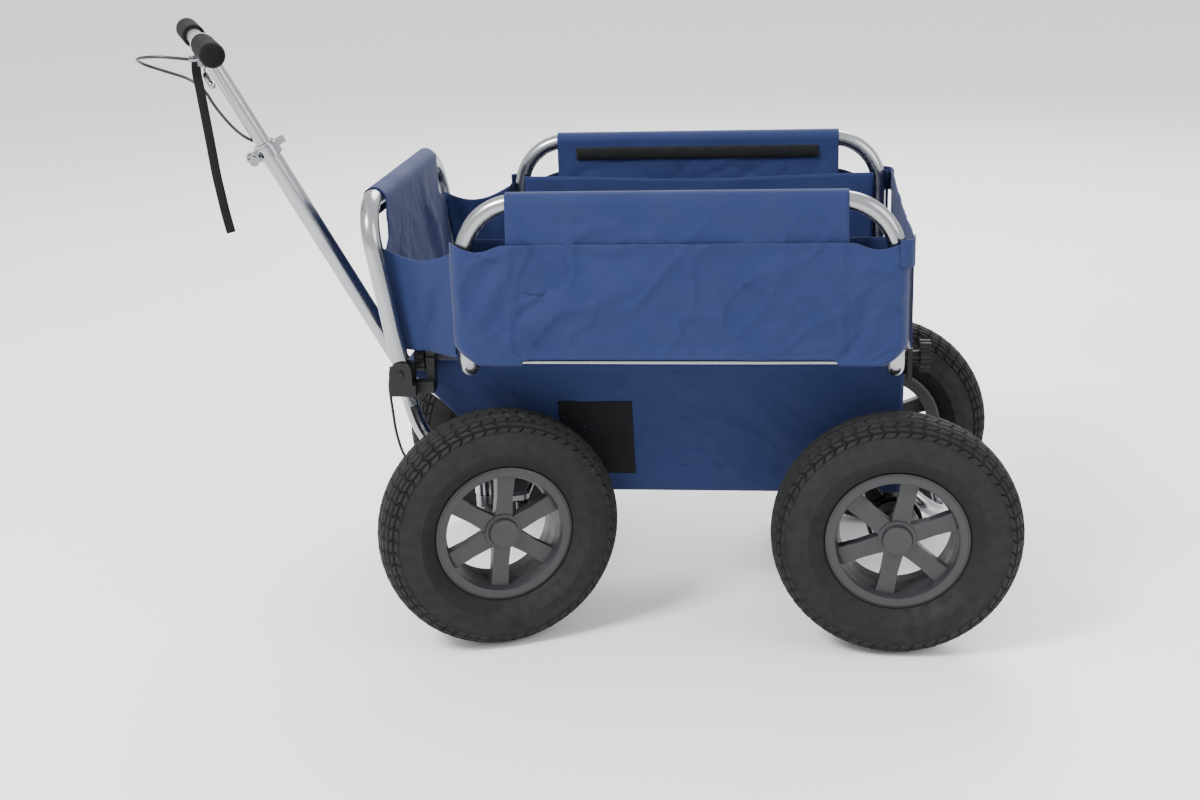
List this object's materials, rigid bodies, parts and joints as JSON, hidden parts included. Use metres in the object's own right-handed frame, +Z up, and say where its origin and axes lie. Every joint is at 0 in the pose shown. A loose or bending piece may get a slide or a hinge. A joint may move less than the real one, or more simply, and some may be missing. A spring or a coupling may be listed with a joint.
{
  "type": "beach cart",
  "caption": "Folding cart with a cloth load tub between folding tube hoops, balloon wheels, a steered front axle and a telescopic pull handle with a brake lever",
  "frame": {"origin": "on the ground, halfway between the axles, on the centre plane", "axes": "+Z up, -X forward towards the pull handle, -Y the near side; the rear axle runs along Y"},
  "size_m": [1.1397, 0.6661, 0.8002],
  "materials": {
    "silver_tube": "satin",
    "steel": "brushed",
    "bright_metal": "polished",
    "blue_cloth": "woven, matte",
    "board": "cloth-covered board",
    "webbing": "woven webbing",
    "foam": "matte foam",
    "tyre": "matte rubber",
    "wheel_plastic": "satin moulded",
    "cable": "smooth jacket",
    "black_metal": "satin black",
    "black_plastic": "matte moulded"
  },
  "bodies": {
    "frame": {"bed_frame": "silver_tube", "front_beam": "silver_tube", "king_pins": "steel", "rear_bow": "silver_tube", "rear_axle": "steel", "rear_brackets": "black_plastic", "front_struts": "silver_tube", "hoop_joints": "black_plastic", "upper_rails": "black_metal", "tub": "blue_cloth", "floor_board": "board", "corner_gussets": "blue_cloth", "brake_covers": "black_plastic", "brake_cables_rear": "cable"},
    "rear_flap": {"rear_panel": "blue_cloth"},
    "cam_near": {"brake_cam_near": "steel"},
    "cam_far": {"brake_cam_far": "steel"},
    "swivel": {"swivel_yoke": "black_metal", "tilt_bolt": "steel", "brake_cable_lower": "cable"},
    "knuckle_near": {"knuckle_near": "steel"},
    "knuckle_far": {"knuckle_far": "steel"},
    "tie_rod": {"tie_rod": "black_metal"},
    "wheel_front_near": {"tyre_front_near": "tyre", "rim_front_near": "wheel_plastic", "hub_cap_front_near": "wheel_plastic"},
    "wheel_front_far": {"tyre_front_far": "tyre", "rim_front_far": "wheel_plastic", "hub_cap_front_far": "wheel_plastic"},
    "wheel_rear_near": {"tyre_rear_near": "tyre", "rim_rear_near": "wheel_plastic", "hub_cap_rear_near": "wheel_plastic", "brake_drum_near": "steel"},
    "wheel_rear_far": {"tyre_rear_far": "tyre", "rim_rear_far": "wheel_plastic", "hub_cap_rear_far": "wheel_plastic", "brake_drum_far": "steel"},
    "drawbar": {"drawbar_tube": "silver_tube", "drawbar_eye": "black_plastic", "clamp_collar": "bright_metal"},
    "clamp_lever": {"clamp_lever": "bright_metal"},
    "slider": {"slide_tube": "silver_tube", "tee_bar": "silver_tube", "grips": "foam", "brake_perch": "bright_metal", "wrist_strap": "webbing", "brake_cable_upper": "cable"},
    "brake_lever": {"brake_lever": "bright_metal"},
    "hoop_near": {"side_hoop_near": "silver_tube", "side_panel_near": "blue_cloth", "hem_rod_near": "silver_tube"},
    "hoop_far": {"side_hoop_far": "silver_tube", "side_panel_far": "blue_cloth", "hem_rod_far": "silver_tube"},
    "hoop_front": {"front_hoop": "silver_tube", "front_panel": "blue_cloth"},
    "knob_front_near": {"knob_front_near": "black_plastic"},
    "knob_front_far": {"knob_front_far": "black_plastic"},
    "knob_rear_near": {"knob_rear_near": "black_plastic"},
    "knob_rear_far": {"knob_rear_far": "black_plastic"}
  },
  "joints": [
    {"name": "steering", "type": "hinge", "parent": "frame", "child": "swivel", "pos_m": [-0.2705, 0, 0.176], "axis": [0, 0, 1], "range_deg": [-48, 1]},
    {"name": "king_pin_near", "type": "hinge", "parent": "frame", "child": "knuckle_near", "pos_m": [-0.2705, -0.1624, 0.176], "axis": [0, 0, 1], "range_deg": [-48, 1]},
    {"name": "king_pin_far", "type": "hinge", "parent": "frame", "child": "knuckle_far", "pos_m": [-0.2705, 0.1624, 0.176], "axis": [0, 0, 1], "range_deg": [-48, 1]},
    {"name": "tie_rod_pin", "type": "hinge", "parent": "swivel", "child": "tie_rod", "pos_m": [-0.22465, 0.01994, 0.16], "axis": [0, 0, 1], "range_deg": [-1, 48]},
    {"name": "handle_tilt", "type": "hinge", "parent": "swivel", "child": "drawbar", "pos_m": [-0.29801, -0.01196, 0.238], "axis": [-0.3987, 0.9171, 0], "range_deg": [-68, 8], "deforming": ["brake_cable_lower"]},
    {"name": "handle_slide", "type": "slide", "parent": "drawbar", "child": "slider", "axis": [-0.4178, -0.1816, 0.8902], "range_m": [0, 0.2]},
    {"name": "clamp_lever", "type": "hinge", "parent": "drawbar", "child": "clamp_lever", "pos_m": [-0.57035, -0.10857, 0.62968], "axis": [-0.3987, 0.9171, 0], "range_deg": [0, 120]},
    {"name": "brake_lever", "type": "hinge", "parent": "slider", "child": "brake_lever", "pos_m": [-0.58936, -0.19971, 0.76326], "axis": [-0.9171, -0.3987, 0], "range_deg": [0, 10], "stiffness_Nm_per_rad": 0.8, "springref_deg": -20.05},
    {"name": "brake_cam_near", "type": "hinge", "parent": "frame", "child": "cam_near", "pos_m": [0.2425, -0.1782, 0.194], "axis": [0, 1, 0], "range_deg": [0, 20]},
    {"name": "brake_cam_far", "type": "hinge", "parent": "frame", "child": "cam_far", "pos_m": [0.2425, 0.1782, 0.194], "axis": [0, 1, 0], "range_deg": [0, 20]},
    {"name": "side_fold_near", "type": "hinge", "parent": "frame", "child": "hoop_near", "pos_m": [0, -0.178, 0.379], "axis": [-1, 0, 0], "range_deg": [0, 88]},
    {"name": "side_fold_far", "type": "hinge", "parent": "frame", "child": "hoop_far", "pos_m": [0, 0.178, 0.379], "axis": [1, 0, 0], "range_deg": [0, 72]},
    {"name": "front_fold", "type": "hinge", "parent": "frame", "child": "hoop_front", "pos_m": [-0.361, 0, 0.368], "axis": [0, 1, 0], "range_deg": [0, 35], "deforming": ["corner_gussets"]},
    {"name": "rear_flap", "type": "hinge", "parent": "frame", "child": "rear_flap", "pos_m": [0.2825, 0, 0.404], "axis": [0, 1, 0], "range_deg": [0, 90]},
    {"name": "spin_front_near", "type": "hinge", "parent": "knuckle_near", "child": "wheel_front_near", "pos_m": [-0.24307, -0.22549, 0.16], "axis": [-0.3987, 0.9171, 0], "continuous": true},
    {"name": "spin_rear_near", "type": "hinge", "parent": "frame", "child": "wheel_rear_near", "pos_m": [0.2705, -0.2312, 0.16], "axis": [0, 1, 0], "continuous": true},
    {"name": "spin_front_far", "type": "hinge", "parent": "knuckle_far", "child": "wheel_front_far", "pos_m": [-0.29793, 0.22549, 0.16], "axis": [-0.3987, 0.9171, 0], "continuous": true},
    {"name": "spin_rear_far", "type": "hinge", "parent": "frame", "child": "wheel_rear_far", "pos_m": [0.2705, 0.2312, 0.16], "axis": [0, 1, 0], "continuous": true},
    {"name": "knob_front_near", "type": "hinge", "parent": "frame", "child": "knob_front_near", "pos_m": [-0.343, -0.178, 0.379], "axis": [1, 0, 0], "range_deg": [0, 360]},
    {"name": "knob_front_far", "type": "hinge", "parent": "frame", "child": "knob_front_far", "pos_m": [-0.343, 0.178, 0.379], "axis": [1, 0, 0], "range_deg": [0, 360]},
    {"name": "knob_rear_near", "type": "hinge", "parent": "frame", "child": "knob_rear_near", "pos_m": [0.304, -0.178, 0.379], "axis": [1, 0, 0], "range_deg": [0, 360]},
    {"name": "knob_rear_far", "type": "hinge", "parent": "frame", "child": "knob_rear_far", "pos_m": [0.304, 0.178, 0.379], "axis": [1, 0, 0], "range_deg": [0, 360]}
  ],
  "couplings": [
    {"joint": "king_pin_near", "follows": "steering", "ratio": 1},
    {"joint": "king_pin_far", "follows": "steering", "ratio": 1},
    {"joint": "tie_rod_pin", "follows": "steering", "ratio": -1},
    {"joint": "brake_cam_near", "follows": "brake_lever", "ratio": 2},
    {"joint": "brake_cam_far", "follows": "brake_lever", "ratio": 2}
  ]
}
